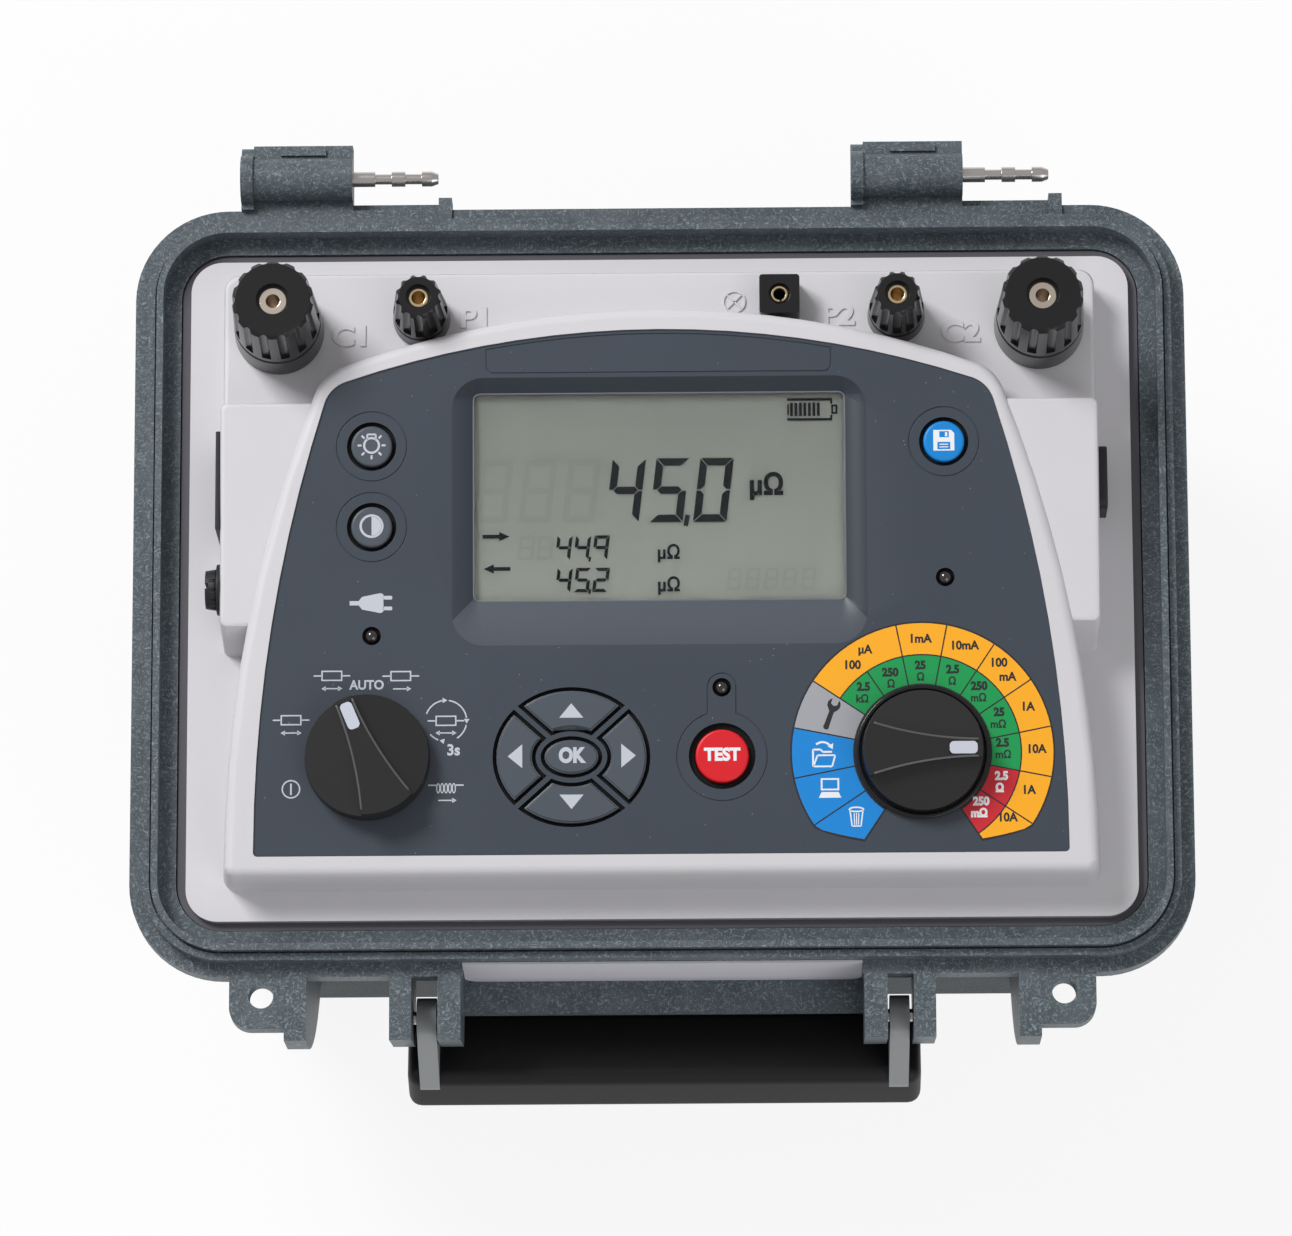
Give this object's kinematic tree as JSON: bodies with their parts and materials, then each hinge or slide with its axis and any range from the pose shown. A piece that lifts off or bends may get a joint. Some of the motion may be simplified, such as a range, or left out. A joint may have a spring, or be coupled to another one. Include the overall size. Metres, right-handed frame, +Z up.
{
  "type": "micro ohmmeter",
  "caption": "Portable low-resistance ohmmeter in a rugged case: sloping panel with display, keys, rotary knobs and screw terminals, swinging carry handle, bare lift-off lid hinges.",
  "frame": {"origin": "on the ground under the middle of the whole outline, handle and lid hinges included", "axes": "+X to the user's right along the case's width, +Y to the back with the lid hinges, -Y to the front with the handle, +Z up"},
  "size_m": [0.315, 0.2852, 0.1671],
  "materials": {
    "case": "grained moulding",
    "rubber": "matt",
    "steel": "turned",
    "strip": "smooth",
    "gasket": "matt",
    "panel": "fine texture",
    "overlay": "satin film",
    "window": "clear",
    "display": "grey-green",
    "lamp": "smoked lens",
    "mat": "matt",
    "board": "solder mask",
    "switch": "moulded",
    "battery": "shrink sleeve",
    "supply": "board with transformer",
    "aluminium": "extruded",
    "brass": "turned",
    "black": "moulded",
    "arm": "smooth",
    "grip": "soft",
    "knob": "fine grain",
    "mark": "smooth",
    "key": "satin",
    "blue_key": "satin",
    "red_key": "satin",
    "washer": "plated"
  },
  "bodies": {
    "root": {"case_shell": "case", "padlock_lug_left": "case", "padlock_lug_right": "case", "case_feet": "rubber", "hinge_pin_left": "steel", "hinge_pin_right": "steel", "name_strip": "strip", "panel_gasket": "gasket", "front_panel": "panel", "overlay": "overlay", "display_window": "window", "display_module": "display", "indicator_lamps": "lamp", "key_mat": "mat", "main_board": "board", "function_switch": "switch", "range_switch": "switch", "range_collar": "black", "battery_pack": "battery", "power_supply": "supply", "heat_sink": "aluminium", "current_shunt": "brass", "mains_inlet": "black", "fuse_holder": "black", "data_socket": "black", "probe_jack": "black", "handle_pin_left": "steel", "handle_pin_right": "steel", "c1_collar": "black", "c1_stud": "brass", "c2_collar": "black", "c2_stud": "brass", "p1_collar": "black", "p1_stud": "brass", "p2_collar": "black", "p2_stud": "brass"},
    "handle": {"handle_frame": "arm", "handle_grip": "grip"},
    "function_knob": {"function_knob": "knob", "function_mark": "mark"},
    "range_knob": {"range_knob": "knob", "range_mark": "mark"},
    "fuse_cap": {"fuse_cap": "black"},
    "light_key": {"light_key": "key"},
    "contrast_key": {"contrast_key": "key"},
    "save_key": {"save_key": "blue_key"},
    "test_key": {"test_key": "red_key"},
    "up_key": {"up_key": "key"},
    "down_key": {"down_key": "key"},
    "left_key": {"left_key": "key"},
    "right_key": {"right_key": "key"},
    "ok_key": {"ok_key": "key"},
    "c1_ring": {"c1_ring": "washer"},
    "c1_cap": {"c1_cap": "black"},
    "c2_ring": {"c2_ring": "washer"},
    "c2_cap": {"c2_cap": "black"},
    "p1_ring": {"p1_ring": "washer"},
    "p1_cap": {"p1_cap": "black"},
    "p2_ring": {"p2_ring": "washer"},
    "p2_cap": {"p2_cap": "black"}
  },
  "joints": [
    {"name": "handle_swing", "type": "hinge", "parent": "root", "child": "handle", "pos_m": [0, -0.12172, 0.1005], "axis": [-1, 0, 0], "range_deg": [0, 95]},
    {"name": "function_turn", "type": "hinge", "parent": "root", "child": "function_knob", "pos_m": [-0.0862, -0.05074, 0.13777], "axis": [0, -0.0785, 0.9969], "range_deg": [-135, 90]},
    {"name": "range_turn", "type": "hinge", "parent": "root", "child": "range_knob", "pos_m": [0.077, -0.05004, 0.13782], "axis": [0, -0.0785, 0.9969], "range_deg": [-45, 225]},
    {"name": "fuse_cap_turn", "type": "hinge", "parent": "root", "child": "fuse_cap", "pos_m": [-0.132, 0.00188, 0.1315], "axis": [-1, 0, 0], "range_deg": [0, 60]},
    {"name": "light_press", "type": "slide", "parent": "root", "child": "light_key", "axis": [0, 0.0785, -0.9969], "range_m": [0, 0.0015], "stiffness_N_per_m": 400, "springref_m": -0.0005},
    {"name": "contrast_press", "type": "slide", "parent": "root", "child": "contrast_key", "axis": [0, 0.0785, -0.9969], "range_m": [0, 0.0015], "stiffness_N_per_m": 400, "springref_m": -0.0005},
    {"name": "save_press", "type": "slide", "parent": "root", "child": "save_key", "axis": [0, 0.0785, -0.9969], "range_m": [0, 0.0015], "stiffness_N_per_m": 400, "springref_m": -0.0005},
    {"name": "test_press", "type": "slide", "parent": "root", "child": "test_key", "axis": [0, 0.0785, -0.9969], "range_m": [0, 0.0015], "stiffness_N_per_m": 400, "springref_m": -0.0005},
    {"name": "up_press", "type": "slide", "parent": "root", "child": "up_key", "axis": [0, 0.0785, -0.9969], "range_m": [0, 0.0015], "stiffness_N_per_m": 400, "springref_m": -0.0005},
    {"name": "down_press", "type": "slide", "parent": "root", "child": "down_key", "axis": [0, 0.0785, -0.9969], "range_m": [0, 0.0015], "stiffness_N_per_m": 400, "springref_m": -0.0005},
    {"name": "left_press", "type": "slide", "parent": "root", "child": "left_key", "axis": [0, 0.0785, -0.9969], "range_m": [0, 0.0015], "stiffness_N_per_m": 400, "springref_m": -0.0005},
    {"name": "right_press", "type": "slide", "parent": "root", "child": "right_key", "axis": [0, 0.0785, -0.9969], "range_m": [0, 0.0015], "stiffness_N_per_m": 400, "springref_m": -0.0005},
    {"name": "ok_press", "type": "slide", "parent": "root", "child": "ok_key", "axis": [0, 0.0785, -0.9969], "range_m": [0, 0.0015], "stiffness_N_per_m": 400, "springref_m": -0.0005},
    {"name": "c1_rise", "type": "slide", "parent": "root", "child": "c1_ring", "axis": [0, 0, 1], "range_m": [0, 0.00301]},
    {"name": "c1_unscrew", "type": "hinge", "parent": "c1_ring", "child": "c1_cap", "pos_m": [-0.1133, 0.08118, 0.1551], "axis": [0, 0, 1], "range_deg": [0, 720]},
    {"name": "c2_rise", "type": "slide", "parent": "root", "child": "c2_ring", "axis": [0, 0, 1], "range_m": [0, 0.00301]},
    {"name": "c2_unscrew", "type": "hinge", "parent": "c2_ring", "child": "c2_cap", "pos_m": [0.1133, 0.08118, 0.1551], "axis": [0, 0, 1], "range_deg": [0, 720]},
    {"name": "p1_rise", "type": "slide", "parent": "root", "child": "p1_ring", "axis": [0, 0, 1], "range_m": [0, 0.00201]},
    {"name": "p1_unscrew", "type": "hinge", "parent": "p1_ring", "child": "p1_cap", "pos_m": [-0.0708, 0.08458, 0.1478], "axis": [0, 0, 1], "range_deg": [0, 720]},
    {"name": "p2_rise", "type": "slide", "parent": "root", "child": "p2_ring", "axis": [0, 0, 1], "range_m": [0, 0.00201]},
    {"name": "p2_unscrew", "type": "hinge", "parent": "p2_ring", "child": "p2_cap", "pos_m": [0.0708, 0.08458, 0.1478], "axis": [0, 0, 1], "range_deg": [0, 720]}
  ],
  "couplings": [
    {"joint": "c1_rise", "follows": "c1_unscrew", "m_per_rad": 0.00023873},
    {"joint": "c2_rise", "follows": "c2_unscrew", "m_per_rad": 0.00023873},
    {"joint": "p1_rise", "follows": "p1_unscrew", "m_per_rad": 0.00015915},
    {"joint": "p2_rise", "follows": "p2_unscrew", "m_per_rad": 0.00015915}
  ]
}
